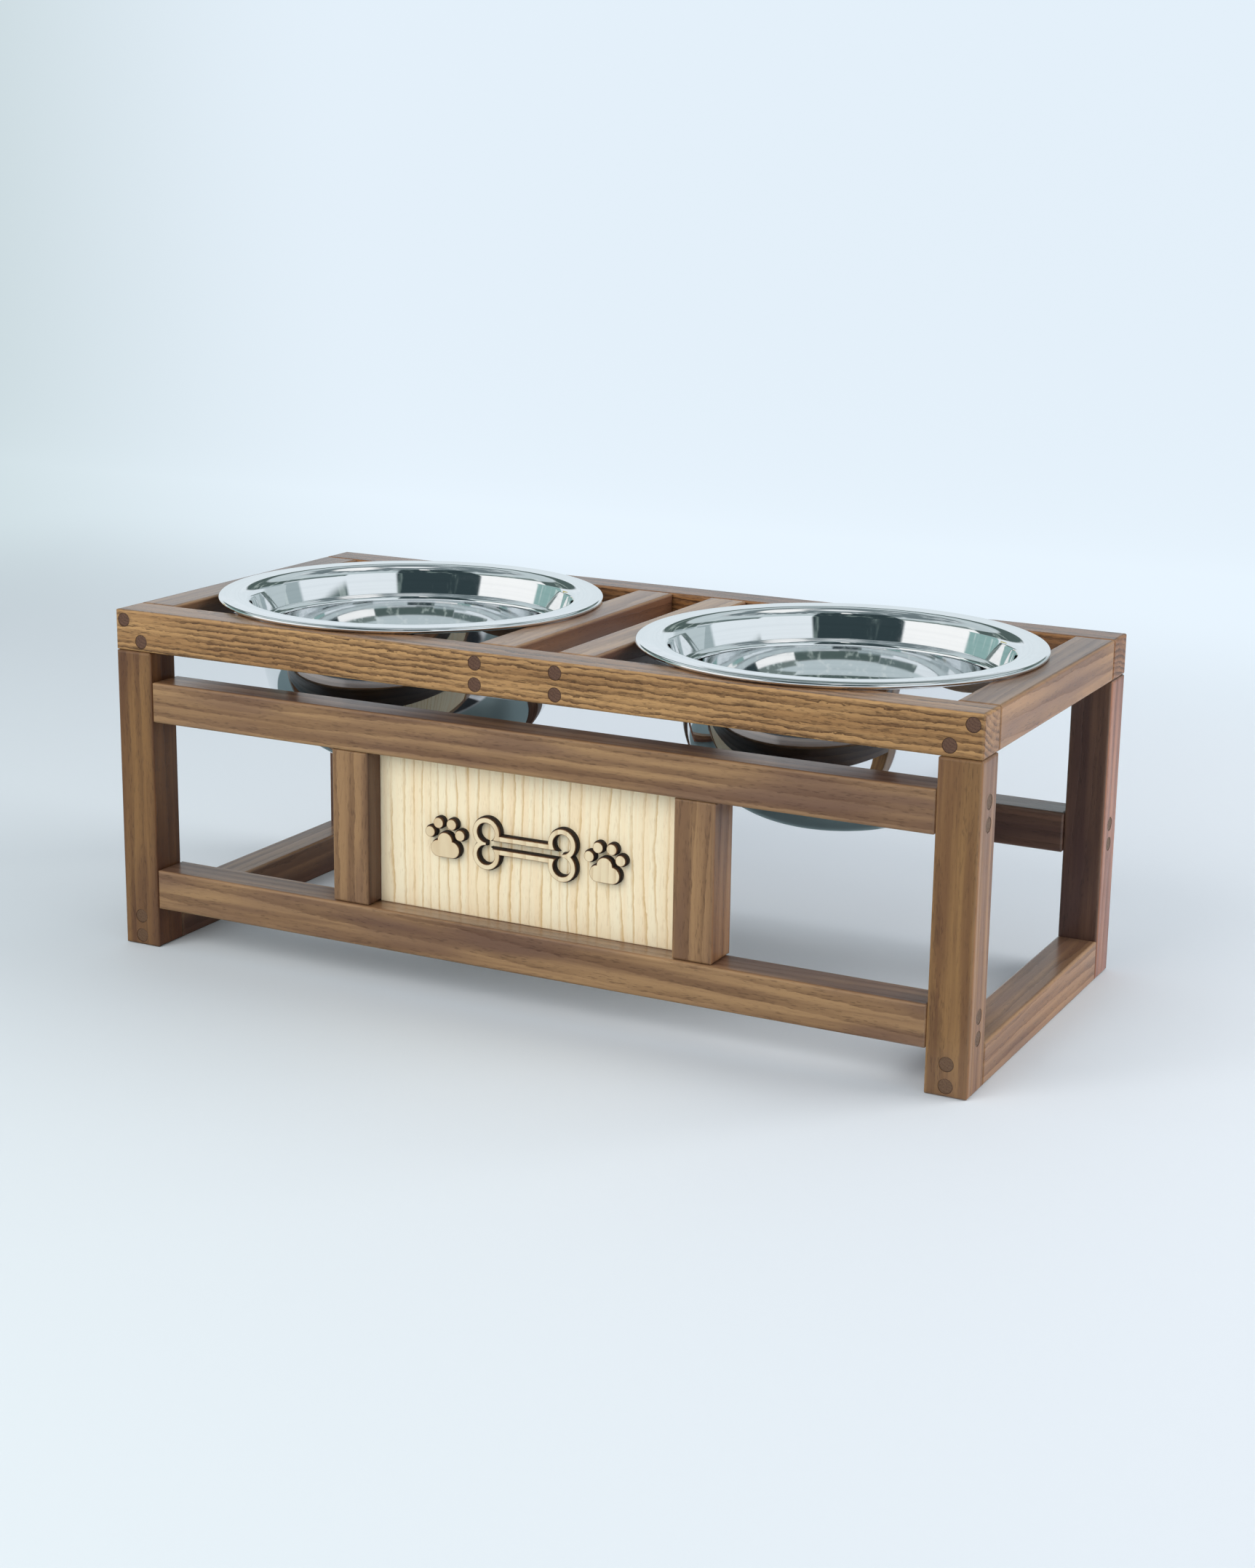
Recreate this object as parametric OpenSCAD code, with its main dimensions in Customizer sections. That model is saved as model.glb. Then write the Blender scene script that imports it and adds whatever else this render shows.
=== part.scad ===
// Elevated dog feeder with storage: a dowelled timber stand that carries two
// steel bowls, with an open storage bay under them and a plaque panel in front.
// Millimetres. Front faces -Y, +Z is up, origin on the floor at the centre.

/* [Stand] */
// Length of the stand, over the ends of the long top rails
stand_l = 624; // [610:2:660]
// Depth of the stand, front face to back face
stand_d = 283; // [283:1:300]
// Height of the timber stand, without the bowls
stand_h = 237.5; // [226:0.5:260]
// Side of the square timber that every member is cut from
section = 28; // [25:0.5:28]
// Radius of the eased timber edges
ease_r = 2; // [1.5:0.25:3]

/* [Rails and stretchers] */
// Open gap between the two middle cross rails
cross_gap = 30; // [20:1:32]
// Open gap between the top frame and the front upper stretcher
upper_gap = 20.5; // [14:0.5:30]
// Height of the back stretcher's underside above the floor
back_stretcher_z = 87; // [60:0.5:120]
// Set-back of the stretchers behind the faces of the legs
stretcher_recess = 0.8; // [0:0.1:2]

/* [Stiles and panel] */
// Distance of each stile's centre line from the middle of the stand
stile_x = 126; // [110:0.5:160]
// Set-back of the stiles behind the stretchers
stile_recess = 2; // [1:0.5:6]
// Set-back of the panel behind the stretchers
panel_recess = 17; // [12:0.5:18]
// Thickness of the panel
panel_t = 8; // [5:0.5:9]

/* [Panel motif] */
// Thickness of the dark lower layer of the motif
backing_t = 3; // [1.5:0.5:3.5]
// Thickness of the pale upper layer of the motif
face_t = 2; // [1:0.5:3]
// Width by which the dark layer shows around the pale layer
backing_edge = 0.7; // [0.3:0.1:1]
// Length of the bone shape
bone_l = 76; // [60:1:80]
// Radius of the bone's four knuckles
bone_knob_r = 10; // [9:0.5:11]
// Height of the bone's shaft
bone_shaft = 12.4; // [11:0.2:14]
// Width of the line that draws the bone
bone_line = 3.4; // [2.8:0.1:3.8]
// Distance of each paw print's centre from the middle of the panel
paw_x = 59; // [56:1:70]

/* [Dowels] */
// Diameter of the through dowels whose ends show on the faces
dowel_d = 9.5; // [8:0.5:10]
// Depth that a through dowel reaches into the second member
dowel_reach = 25; // [15:1:30]
// Distance of each dowel of a pair from the middle of the joint
dowel_offset = 7; // [6:0.25:7.5]
// Diameter of the hidden pins between the legs and the top frame
leg_pin_d = 6; // [4:0.5:6]
// Diameter of the hidden pins at the ends of the stiles
stile_pin_d = 8; // [6:0.5:8]

/* [Bowls] */
// Overall diameter of the bowl's rolled rim
rim_d = 268.6; // [264:0.2:269]
// Width of the flat lip, including the rolled bead
lip_w = 14.4; // [14:0.1:16]
// Diameter of the rolled bead under the edge of the lip
bead_d = 3.6; // [3:0.1:4]
// Radius of the shoulder between the lip and the flared band under it
shoulder_r = 8.5; // [8:0.5:12]
// Angle by which the flared band leans out from upright
flare_angle = 15; // [10:1:18]
// Depth of the crease under the flared band, below the lip
crease_depth = 20.6; // [18:0.2:24]
// Outside diameter of the upright wall under the crease
wall_d = 209; // [208:0.5:212]
// Outside radius of the curve between the wall and the base
round_r = 77; // [60:1:80]
// Depth of the bowl from the lip to the underside
bowl_h = 118; // [110:1:120]
// Thickness of the steel sheet
sheet_t = 0.9; // [0.8:0.1:1]

/* [Hidden] */
left = -1;
right = 1;
front = -1;
back = 1;

// Colours of the stain, the pale wood, the scorched wood and the steel
rail_brown = [0.45, 0.30, 0.18];
leg_brown = [0.40, 0.26, 0.16];
dowel_brown = [0.30, 0.18, 0.11];
pale_wood = [0.86, 0.76, 0.58];
scorched = [0.16, 0.11, 0.08];
steel = [0.78, 0.80, 0.81];

// Centre lines and levels of the timber members
half_s = section / 2;
leg_x = stand_l / 2 - half_s;
leg_y = stand_d / 2 - half_s;
leg_h = stand_h - section;
top_z = stand_h - half_s;
cross_x = cross_gap / 2 + half_s;
inner_l = stand_l - 2 * section;
inner_d = stand_d - 2 * section;
upper_z = leg_h - upper_gap - half_s;
lower_z = section + half_s;
back_z = back_stretcher_z + half_s;
stretcher_y = leg_y - stretcher_recess;
stile_y = stretcher_y - stile_recess;
window_z0 = lower_z + half_s;
window_z1 = upper_z - half_s;
window_h = window_z1 - window_z0;
window_z = (window_z0 + window_z1) / 2;
panel_w = 2 * stile_x - section;
panel_front_y = -(stretcher_y + half_s - panel_recess);
panel_ease = 0.6;

// The dowels are a little slimmer and shorter than their holes
dowel_slack = 0.1;
dowel_sink = 0.15;
end_slack = 0.5;
pin_depth = 14;
pin_length = 32;
leg_pin_shift = 1.5;

// The bowls stand in the middle of the two square openings of the top frame
opening_x = (cross_x + leg_x) / 2;
seat_gap = 0.3;
seat_z = stand_h + seat_gap;
rim_r = rim_d / 2;
lip_in_r = rim_r - lip_w;
lip_z = bead_d;
bead_r = rim_r - bead_d / 2;
shoulder_at = [lip_in_r, lip_z - shoulder_r];
flare_top = shoulder_at + shoulder_r * [-cos(flare_angle), sin(flare_angle)];
crease_z = lip_z - crease_depth;
crease_r = flare_top.x - (flare_top.y - crease_z) * tan(flare_angle);
wall_r = wall_d / 2;
ledge_r = crease_r - wall_r + sheet_t;
base_z = lip_z - bowl_h;
round_z = base_z + round_r;
base_r = wall_r - round_r;
round_steps = 20;
shoulder_steps = 10;
ledge_steps = 6;
bead_steps = 14;

// Outlines of the motif
bone_x = bone_l / 2 - bone_knob_r;
bone_z = 0.75 * bone_knob_r;
toe_r = 3.6;
toe_ring_r = 12.2;
toe_angles = [22, 66, 114, 158];
toe_drop = 2;
pad_r = 5.6;
pad_x = 5.2;
pad_low = 8;
pad_top = 2.4;

$fn = 64;

// A square with rounded corners, centred
module eased_square(w, h, r) {
  square([w - 2 * r, h], center = true);
  square([w, h - 2 * r], center = true);
  for (x = [-1, 1], y = [-1, 1])
    translate([x * (w / 2 - r), y * (h / 2 - r)]) circle(r);
}

// A timber member of size [x, y, z], centred, with every edge eased
module timber(size, r = ease_r) {
  intersection() {
    linear_extrude(size.z, center = true) eased_square(size.x, size.y, r);
    rotate([90, 0, 0]) linear_extrude(size.y, center = true) eased_square(size.x, size.z, r);
    rotate([90, 0, 90]) linear_extrude(size.x, center = true) eased_square(size.y, size.z, r);
  }
}

// A round peg from point p, along axis "x", "y" or "z", running len towards dir
module peg(p, axis, dir, len, d) {
  turn = axis == "x" ? [0, 90 * dir, 0] : axis == "y" ? [-90 * dir, 0, 0] : [dir > 0 ? 0 : 180, 0, 0];
  translate(p) rotate(turn) cylinder(h = len, d = d);
}

// Pegs in pairs through the front and back top rails into the side rails
module corner_pegs(d, sink, extra) {
  for (x = [left, right], y = [front, back], k = [-1, 1])
    peg([x * (leg_x + k * dowel_offset), y * (stand_d / 2 - sink), top_z + k * dowel_offset],
        "y", -y, section + dowel_reach - sink + extra, d);
}

// Upright pairs through the front and back top rails into the cross rails
module cross_pegs(d, sink, extra) {
  for (x = [left, right], y = [front, back], k = [-1, 1])
    peg([x * cross_x, y * (stand_d / 2 - sink), top_z + k * dowel_offset],
        "y", -y, section + dowel_reach - sink + extra, d);
}

// Upright pairs through the legs into the stretchers
module stretcher_pegs(d, sink, extra) {
  for (at = [[front, upper_z], [front, lower_z], [back, back_z]], x = [left, right], k = [-1, 1])
    peg([x * (stand_l / 2 - sink), at[0] * stretcher_y, at[1] + k * dowel_offset],
        "x", -x, section + dowel_reach - sink + extra, d);
}

// Upright pairs through the legs into the bottom rails
module bottom_pegs(d, sink, extra) {
  for (x = [left, right], y = [front, back], k = [-1, 1])
    peg([x * leg_x, y * (stand_d / 2 - sink), half_s + k * dowel_offset],
        "y", -y, section + dowel_reach - sink + extra, d);
}

// Hidden upright pins from each leg into the top frame
module leg_pegs(d, extra) {
  for (x = [left, right], y = [front, back])
    peg([x * (leg_x + leg_pin_shift), y * leg_y, leg_h + pin_depth - pin_length - extra],
        "z", 1, pin_length + 2 * extra, d);
}

// Hidden upright pins at both ends of each stile
module stile_pegs(d, extra) {
  for (x = [left, right], z = [window_z0, window_z1])
    peg([x * stile_x, -stile_y, z - pin_length / 2 - extra], "z", 1, pin_length + 2 * extra, d);
}

// The bores that take each group of pegs
bore_d = dowel_d + dowel_slack;
bore_out = -1;
module corner_bores() corner_pegs(bore_d, bore_out, end_slack);
module cross_bores() cross_pegs(bore_d, bore_out, end_slack);
module stretcher_bores() stretcher_pegs(bore_d, bore_out, end_slack);
module bottom_bores() bottom_pegs(bore_d, bore_out, end_slack);
module leg_pin_bores() leg_pegs(leg_pin_d + dowel_slack, end_slack);
module stile_pin_bores() stile_pegs(stile_pin_d + dowel_slack, end_slack);

// A long top rail, at the front or the back
module long_rail(side) color(rail_brown) difference() {
  translate([0, side * leg_y, top_z]) timber([stand_l, section, section]);
  corner_bores();
  cross_bores();
  leg_pin_bores();
}

// A short rail of the top frame at x, with the bores of its own joints
module short_rail(x) color(rail_brown) difference() {
  translate([x, 0, top_z]) timber([section, inner_d, section]);
  children();
}

// A leg of the stand
module leg(x, y) color(leg_brown) difference() {
  translate([x * leg_x, y * leg_y, leg_h / 2]) timber([section, section, leg_h]);
  stretcher_bores();
  bottom_bores();
  leg_pin_bores();
}

// A rail that lies on the floor between two legs
module bottom_rail(x) color(rail_brown) difference() {
  translate([x * leg_x, 0, half_s]) timber([section, inner_d, section]);
  bottom_bores();
}

// A stretcher between two legs at height z
module stretcher(y, z) color(rail_brown) difference() {
  translate([0, y * stretcher_y, z]) timber([inner_l, section, section]);
  stretcher_bores();
  children();
}

// An upright stile beside the panel
module stile(x) color(leg_brown) difference() {
  translate([x * stile_x, -stile_y, window_z]) timber([section, section, window_h]);
  stile_pin_bores();
}

module front_panel() color(pale_wood)
  translate([0, panel_front_y + panel_t / 2, window_z])
    timber([panel_w, panel_t, window_h], panel_ease);

// Places a flat outline on the panel's front, h thick, from a layer level
module on_panel(level, h)
  translate([0, panel_front_y - level, window_z]) rotate([90, 0, 0]) linear_extrude(h) children();

// The outline of a bone, grown or shrunk by g
module bone_outline(g) {
  for (x = [-1, 1], z = [-1, 1])
    translate([x * bone_x, z * bone_z]) circle(bone_knob_r + g);
  square([2 * bone_x, bone_shaft + 2 * g], center = true);
}

// The bone drawn as a line, grown by g on both of its sides
module bone_ring(g) difference() {
  bone_outline(g);
  bone_outline(-bone_line - g);
}

// The pads of a paw print, grown by g
module paw_pads(g) {
  for (a = toe_angles)
    translate([toe_ring_r * cos(a), toe_ring_r * sin(a) - toe_drop]) circle(toe_r + g);
  for (x = [-1, 1])
    translate([x * pad_x, -pad_low]) circle(pad_r + g);
  translate([0, -pad_top]) circle(pad_r + g);
  square_h = pad_low - pad_top;
  translate([0, -pad_low - (pad_r + g) / 2]) square([2 * pad_x, pad_r + g], center = true);
  translate([0, -pad_top - square_h / 2]) square([2 * pad_x, square_h], center = true);
}

module bone_backing() color(scorched) on_panel(0, backing_t) bone_ring(backing_edge);
module bone_face() color(pale_wood) on_panel(backing_t, face_t) bone_ring(0);
module paw_backing(x) color(scorched)
  on_panel(0, backing_t) translate([x * paw_x, 0]) paw_pads(backing_edge);
module paw_face(x) color(pale_wood)
  on_panel(backing_t, face_t) translate([x * paw_x, 0]) paw_pads(0);

// Points of an arc about c, from angle a0 to a1 in n steps
function arc(c, r, a0, a1, n) =
  [for (i = [0:n]) c + r * [cos(a0 + (a1 - a0) * i / n), sin(a0 + (a1 - a0) * i / n)]];

// Half section of a bowl: radius to the right, the rim's resting plane at 0
module bowl_section() {
  round_at = [base_r, round_z];
  ledge_at = [crease_r, crease_z - ledge_r];
  bead_at = [bead_r, bead_d / 2];
  bead_start = 180 - asin(1 - 2 * sheet_t / bead_d);
  polygon(concat(
    [[0, base_z]],
    arc(round_at, round_r, -90, 0, round_steps),
    arc(ledge_at, ledge_r - sheet_t, 180, 90, ledge_steps),
    [[crease_r + sheet_t * tan(45 - flare_angle / 2), crease_z - sheet_t]],
    arc(shoulder_at, shoulder_r - sheet_t, 180 - flare_angle, 90, shoulder_steps),
    arc(bead_at, bead_d / 2, bead_start, 450, bead_steps),
    arc(shoulder_at, shoulder_r, 90, 180 - flare_angle, shoulder_steps),
    arc(ledge_at, ledge_r, 90, 180, ledge_steps),
    arc(round_at, round_r - sheet_t, 0, -90, round_steps),
    [[0, base_z + sheet_t]]));
}

module bowl(x) color(steel)
  translate([x * opening_x, 0, seat_z]) rotate_extrude($fn = 128) bowl_section();

long_rail(front);  // front_top_rail
long_rail(back);  // back_top_rail
short_rail(-leg_x) corner_bores();  // left_top_rail
short_rail(leg_x) corner_bores();  // right_top_rail
short_rail(-cross_x) cross_bores();  // left_cross_rail
short_rail(cross_x) cross_bores();  // right_cross_rail
leg(left, front);  // front_left_leg
leg(right, front);  // front_right_leg
leg(left, back);  // back_left_leg
leg(right, back);  // back_right_leg
bottom_rail(left);  // left_bottom_rail
bottom_rail(right);  // right_bottom_rail
stretcher(front, upper_z) stile_pin_bores();  // front_upper_stretcher
stretcher(front, lower_z) stile_pin_bores();  // front_lower_stretcher
stretcher(back, back_z);  // back_stretcher
stile(left);  // left_stile
stile(right);  // right_stile
front_panel();
bone_backing();
bone_face();
paw_backing(left);  // left_paw_backing
paw_face(left);  // left_paw_face
paw_backing(right);  // right_paw_backing
paw_face(right);  // right_paw_face
color(dowel_brown) corner_pegs(dowel_d, dowel_sink, 0);  // corner_dowels
color(dowel_brown) cross_pegs(dowel_d, dowel_sink, 0);  // cross_rail_dowels
color(dowel_brown) stretcher_pegs(dowel_d, dowel_sink, 0);  // stretcher_dowels
color(dowel_brown) bottom_pegs(dowel_d, dowel_sink, 0);  // bottom_rail_dowels
color(dowel_brown) leg_pegs(leg_pin_d, 0);  // leg_pins
color(dowel_brown) stile_pegs(stile_pin_d, 0);  // stile_pins
bowl(left);  // left_bowl
bowl(right);  // right_bowl
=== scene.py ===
"""Looks of an elevated dog feeder: stained timber, pale panel, raised motif and steel bowls.

Lengths are metres in the shared frame: +X right, -Y front, +Z up, origin on the floor.
"""

import logging
import math
from dataclasses import dataclass, replace
from enum import Enum

import bmesh
import bpy
from mathutils import Matrix, Vector

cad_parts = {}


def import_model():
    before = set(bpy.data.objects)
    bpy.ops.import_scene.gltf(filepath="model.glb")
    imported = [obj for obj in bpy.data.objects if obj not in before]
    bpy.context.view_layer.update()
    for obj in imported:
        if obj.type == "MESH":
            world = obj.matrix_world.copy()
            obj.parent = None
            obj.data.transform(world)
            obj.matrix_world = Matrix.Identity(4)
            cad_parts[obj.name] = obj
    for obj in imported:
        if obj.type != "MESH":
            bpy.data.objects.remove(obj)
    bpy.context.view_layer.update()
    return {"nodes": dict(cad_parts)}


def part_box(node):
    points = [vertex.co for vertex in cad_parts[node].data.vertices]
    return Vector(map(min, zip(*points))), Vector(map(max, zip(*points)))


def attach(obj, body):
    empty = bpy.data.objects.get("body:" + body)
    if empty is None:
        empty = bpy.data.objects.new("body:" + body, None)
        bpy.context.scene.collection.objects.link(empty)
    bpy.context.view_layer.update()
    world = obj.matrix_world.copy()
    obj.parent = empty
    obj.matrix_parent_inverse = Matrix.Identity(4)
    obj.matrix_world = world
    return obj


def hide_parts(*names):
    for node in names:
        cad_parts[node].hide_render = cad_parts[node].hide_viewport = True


LOG = logging.getLogger("feeder")
MM = 0.001
STAND_BODY = "stand"
AXIS_X = 0
AXIS_Y = 1

Socket = bpy.types.NodeSocket
Sockets = bpy.types.bpy_prop_collection
Node = bpy.types.Node
Object = bpy.types.Object
Material = bpy.types.Material
Mesh = bmesh.types.BMesh
Vert = bmesh.types.BMVert
Pair = tuple[float, float]
Triple = tuple[float, float, float]
Colour = Triple


class Grain(Enum):
    """Direction in which a piece's grain runs, as the turn that lays it along X."""

    ALONG_X = (0.0, 0.0, 0.0)
    ALONG_Y = (0.0, 0.0, -math.pi / 2)
    ALONG_Z = (0.0, math.pi / 2, 0.0)


ALONG_X, ALONG_Y, ALONG_Z = Grain


def srgb(red: int, green: int, blue: int) -> Colour:
    """Turns a colour as read on a screen into scene-linear values.

    Args:
        red: Red, from 0 to 255.
        green: Green, from 0 to 255.
        blue: Blue, from 0 to 255.

    Returns:
        The linear red, green and blue.
    """
    def linear(level: int) -> float:
        """Linear value of one 8-bit channel."""
        share = level / 255
        return share / 12.92 if share <= 0.04045 else ((share + 0.055) / 1.055) ** 2.4

    return linear(red), linear(green), linear(blue)


class Graph:
    """Adds nodes to one node tree and links them as they are made."""

    def __init__(self, tree: bpy.types.NodeTree) -> None:
        """Starts on an empty tree."""
        self.tree = tree

    def add(self, kind: str, inputs: dict[str | int, object] | None = None, **settings: object) -> Node:
        """Adds a node, sets its options and feeds its inputs.

        Args:
            kind: Blender's type name of the node.
            inputs: Socket name or number to a value or to another node's output.
            settings: The node's own properties.

        Returns:
            The new node.
        """
        node = self.tree.nodes.new(kind)
        for name, value in settings.items():
            setattr(node, name, value)
        self.fill(node, inputs or {})
        return node

    def fill(self, node: Node, values: dict[str | int, object]) -> None:
        """Feeds several inputs of a node, by name or number."""
        for key, value in values.items():
            self.feed(node.inputs[key], value)

    def feed(self, socket: Socket, value: object) -> None:
        """Links a socket to another node's output, or sets its value.

        Args:
            socket: The input to feed.
            value: An output socket, or a plain value.
        """
        if isinstance(value, bpy.types.NodeSocket):
            self.tree.links.new(value, socket)
        elif isinstance(value, tuple) and len(value) == 3 and socket.type == "RGBA":
            socket.default_value = (*value, 1.0)
        else:
            socket.default_value = value

    def math(self, operation: str, *values: object, clamp: bool = False) -> Socket:
        """Result of a Math node on the values, in order."""
        node = self.add("ShaderNodeMath", dict(enumerate(values)), operation=operation, use_clamp=clamp)
        return node.outputs[0]

    def vector(self, operation: str, *values: object) -> Socket:
        """Result of a Vector Math node on the values, in order."""
        node = self.add("ShaderNodeVectorMath", dict(enumerate(values)), operation=operation)
        single = operation in {"LENGTH", "DOT_PRODUCT"}
        return node.outputs["Value" if single else "Vector"]

    def split(self, vector: Socket) -> tuple[Socket, Socket, Socket]:
        """The three parts of a vector."""
        node = self.add("ShaderNodeSeparateXYZ", {0: vector})
        return node.outputs[0], node.outputs[1], node.outputs[2]

    def join(self, x: object, y: object, z: object) -> Socket:
        """A vector from three parts."""
        return self.add("ShaderNodeCombineXYZ", {0: x, 1: y, 2: z}).outputs[0]

    def ramp(self, value: object, low: float, high: float, to_low: float = 0.0,
             to_high: float = 1.0) -> Socket:
        """The value moved smoothly from low and high to to_low and to_high, with clamped ends."""
        given = {"Value": value, "From Min": low, "From Max": high, "To Min": to_low, "To Max": to_high}
        return self.add("ShaderNodeMapRange", given, interpolation_type="SMOOTHSTEP").outputs["Result"]

    def band(self, value: object, low: float, high: float, soft: float) -> Socket:
        """One between low and high and nought outside, with edges as wide as twice soft."""
        return self.math("MULTIPLY", self.ramp(value, low - soft, low + soft),
                         self.ramp(value, high - soft, high + soft, 1.0, 0.0))

    def blend(self, share: object, first: object, second: object, mode: str = "MIX") -> Socket:
        """Mixes two colours.

        Args:
            share: How much of the second colour shows.
            first: The colour below.
            second: The colour above.
            mode: Blender's blend mode.

        Returns:
            The mixed colour.
        """
        node = self.add("ShaderNodeMix", data_type="RGBA", blend_type=mode)
        for identifier, value in (("Factor_Float", share), ("A_Color", first), ("B_Color", second)):
            socket = next(s for s in node.inputs if s.identifier == identifier)
            self.feed(socket, value)
        return next(s for s in node.outputs if s.identifier == "Result_Color")

    def layer(self, mask: object, share: float, below: object, above: object) -> Socket:
        """The colour below, covered by the one above where the mask is, and by that share."""
        return self.blend(self.math("MULTIPLY", mask, share), below, above)

    def noise(self, position: Socket, stretch: float | Triple,
              detail: float = 2.0, roughness: float = 0.5) -> Socket:
        """Noise from 0 to 1, stretched by a scale for each direction.

        Args:
            position: Where the noise is read.
            stretch: Features per metre, one number or one each for X, Y and Z.
            detail: Octaves of the noise.
            roughness: Strength of the finer octaves.

        Returns:
            The noise value.
        """
        scales = stretch if isinstance(stretch, tuple) else (stretch, stretch, stretch)
        scaled = self.vector("MULTIPLY", position, scales)
        given = {"Vector": scaled, "Scale": 1.0, "Detail": detail, "Roughness": roughness}
        return self.add("ShaderNodeTexNoise", given).outputs[0]

    def attribute(self, name: str, output: str = "Fac") -> Socket:
        """One output of a named attribute of the mesh."""
        node = self.add("ShaderNodeAttribute", attribute_type="GEOMETRY", attribute_name=name)
        return node.outputs[output]

    def turned(self, position: Socket, place: Vector, turn: Triple) -> Socket:
        """A position turned, and then moved by a place."""
        given = {"Vector": position, "Location": tuple(place), "Rotation": turn}
        return self.add("ShaderNodeMapping", given, vector_type="POINT").outputs[0]

    def bump(self, height: Socket, distance: float, strength: float = 1.0) -> Socket:
        """A normal bent by a height, whose full range is the distance."""
        given = {"Height": height, "Strength": strength, "Distance": distance}
        return self.add("ShaderNodeBump", given).outputs[0]


class SharedGroup:
    """A node group that several materials place with their own values."""

    title: str = ""
    vectors: tuple[str, ...] = ()
    numbers: tuple[str, ...] = ()
    results: tuple[str, ...] = ()

    @classmethod
    def tree(cls) -> bpy.types.NodeTree:
        """The group's node tree, built the first time it is asked for."""
        found = bpy.data.node_groups.get(cls.title)
        if found is not None:
            return found
        tree = bpy.data.node_groups.new(cls.title, "ShaderNodeTree")
        sockets = (
            (cls.vectors, "INPUT", "NodeSocketVector"),
            (cls.numbers, "INPUT", "NodeSocketFloat"),
            (cls.results, "OUTPUT", "NodeSocketFloat"),
        )
        for names, direction, kind in sockets:
            for name in names:
                tree.interface.new_socket(name, in_out=direction, socket_type=kind)
        graph = Graph(tree)
        source = graph.add("NodeGroupInput")
        sink = graph.add("NodeGroupOutput")
        cls.wire(graph, source.outputs, sink)
        return tree

    @classmethod
    def wire(cls, graph: Graph, given: Sockets, sink: Node) -> None:
        """Builds the nodes between the group's inputs and outputs."""
        raise NotImplementedError

    @classmethod
    def place(cls, graph: Graph, values: dict[str | int, object]) -> Node:
        """The group's node, added to a material's graph and fed with the values."""
        return graph.add("ShaderNodeGroup", values, node_tree=cls.tree())


class TimberGrain(SharedGroup):
    """Growth rings, pores and streaks of sawn wood whose grain runs along X."""

    title = "timber_grain"
    vectors = ("Position", "Pith", "Seed", "Slope")
    numbers = ("Ring Gap", "Wander", "Ripple", "Ragged", "Line Width")
    results = ("Late", "Pores", "Streak", "Cloud", "Height")

    # Each bend of the rings: the input that gives its size, its features per metre, and its octaves
    BENDS = (
        ("Wander", (3.5, 18, 18), 2.0),
        ("Ripple", (34, 110, 110), 2.0),
        ("Ragged", (180, 620, 620), 3.0),
    )
    # Where in a ring's turn its dark line is darkest, and where it is gone again
    DARKEST = 0.92
    GONE = 0.99

    @classmethod
    def wire(cls, graph: Graph, given: Sockets, sink: Node) -> None:
        """Rings are the distance from a sloping pith, bent by noise at three sizes."""
        place = graph.vector("ADD", given["Position"], given["Seed"])
        along, _, _ = graph.split(given["Position"])
        lean = graph.vector("MULTIPLY", graph.join(along, along, along), given["Slope"])
        offset = graph.vector("SUBTRACT", given["Position"], graph.vector("ADD", given["Pith"], lean))
        _, across, up = graph.split(offset)
        radius = graph.vector("LENGTH", graph.join(0.0, across, up))
        for size, stretch, detail in cls.BENDS:
            stir = graph.math("SUBTRACT", graph.noise(place, stretch, detail, 0.55), 0.5)
            radius = graph.math("MULTIPLY_ADD", stir, given[size], radius)
        turn = graph.math("FRACT", graph.math("DIVIDE", radius, given["Ring Gap"]))
        start = graph.math("SUBTRACT", cls.DARKEST, given["Line Width"])
        rise = graph.math("DIVIDE", graph.math("SUBTRACT", turn, start), given["Line Width"], clamp=True)
        fall = graph.ramp(turn, cls.DARKEST, cls.GONE, 1.0, 0.0)
        fade = graph.ramp(graph.noise(place, (14, 90, 90), 2.0), 0.30, 0.62, 0.3, 1.0)
        late = graph.math("MULTIPLY", graph.math("MULTIPLY", rise, fall), fade)
        dash = graph.noise(place, (170, 1400, 1400), 1.0)
        pores = graph.math("MULTIPLY", graph.ramp(dash, 0.58, 0.68),
                           graph.ramp(turn, 0.15, 0.75, 0.4, 1.0))
        streak = graph.noise(place, (4, 130, 130), 3.0, 0.6)
        cloud = graph.noise(place, (6, 34, 34), 2.0)
        fibre = graph.noise(place, (60, 1100, 1100), 2.0)
        relief = graph.math("MULTIPLY_ADD", late, -0.75, graph.math("MULTIPLY", fibre, 0.2))
        height = graph.math("MULTIPLY_ADD", pores, -0.4, relief)
        graph.fill(sink, {"Late": late, "Pores": pores, "Streak": streak, "Cloud": cloud, "Height": height})


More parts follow.
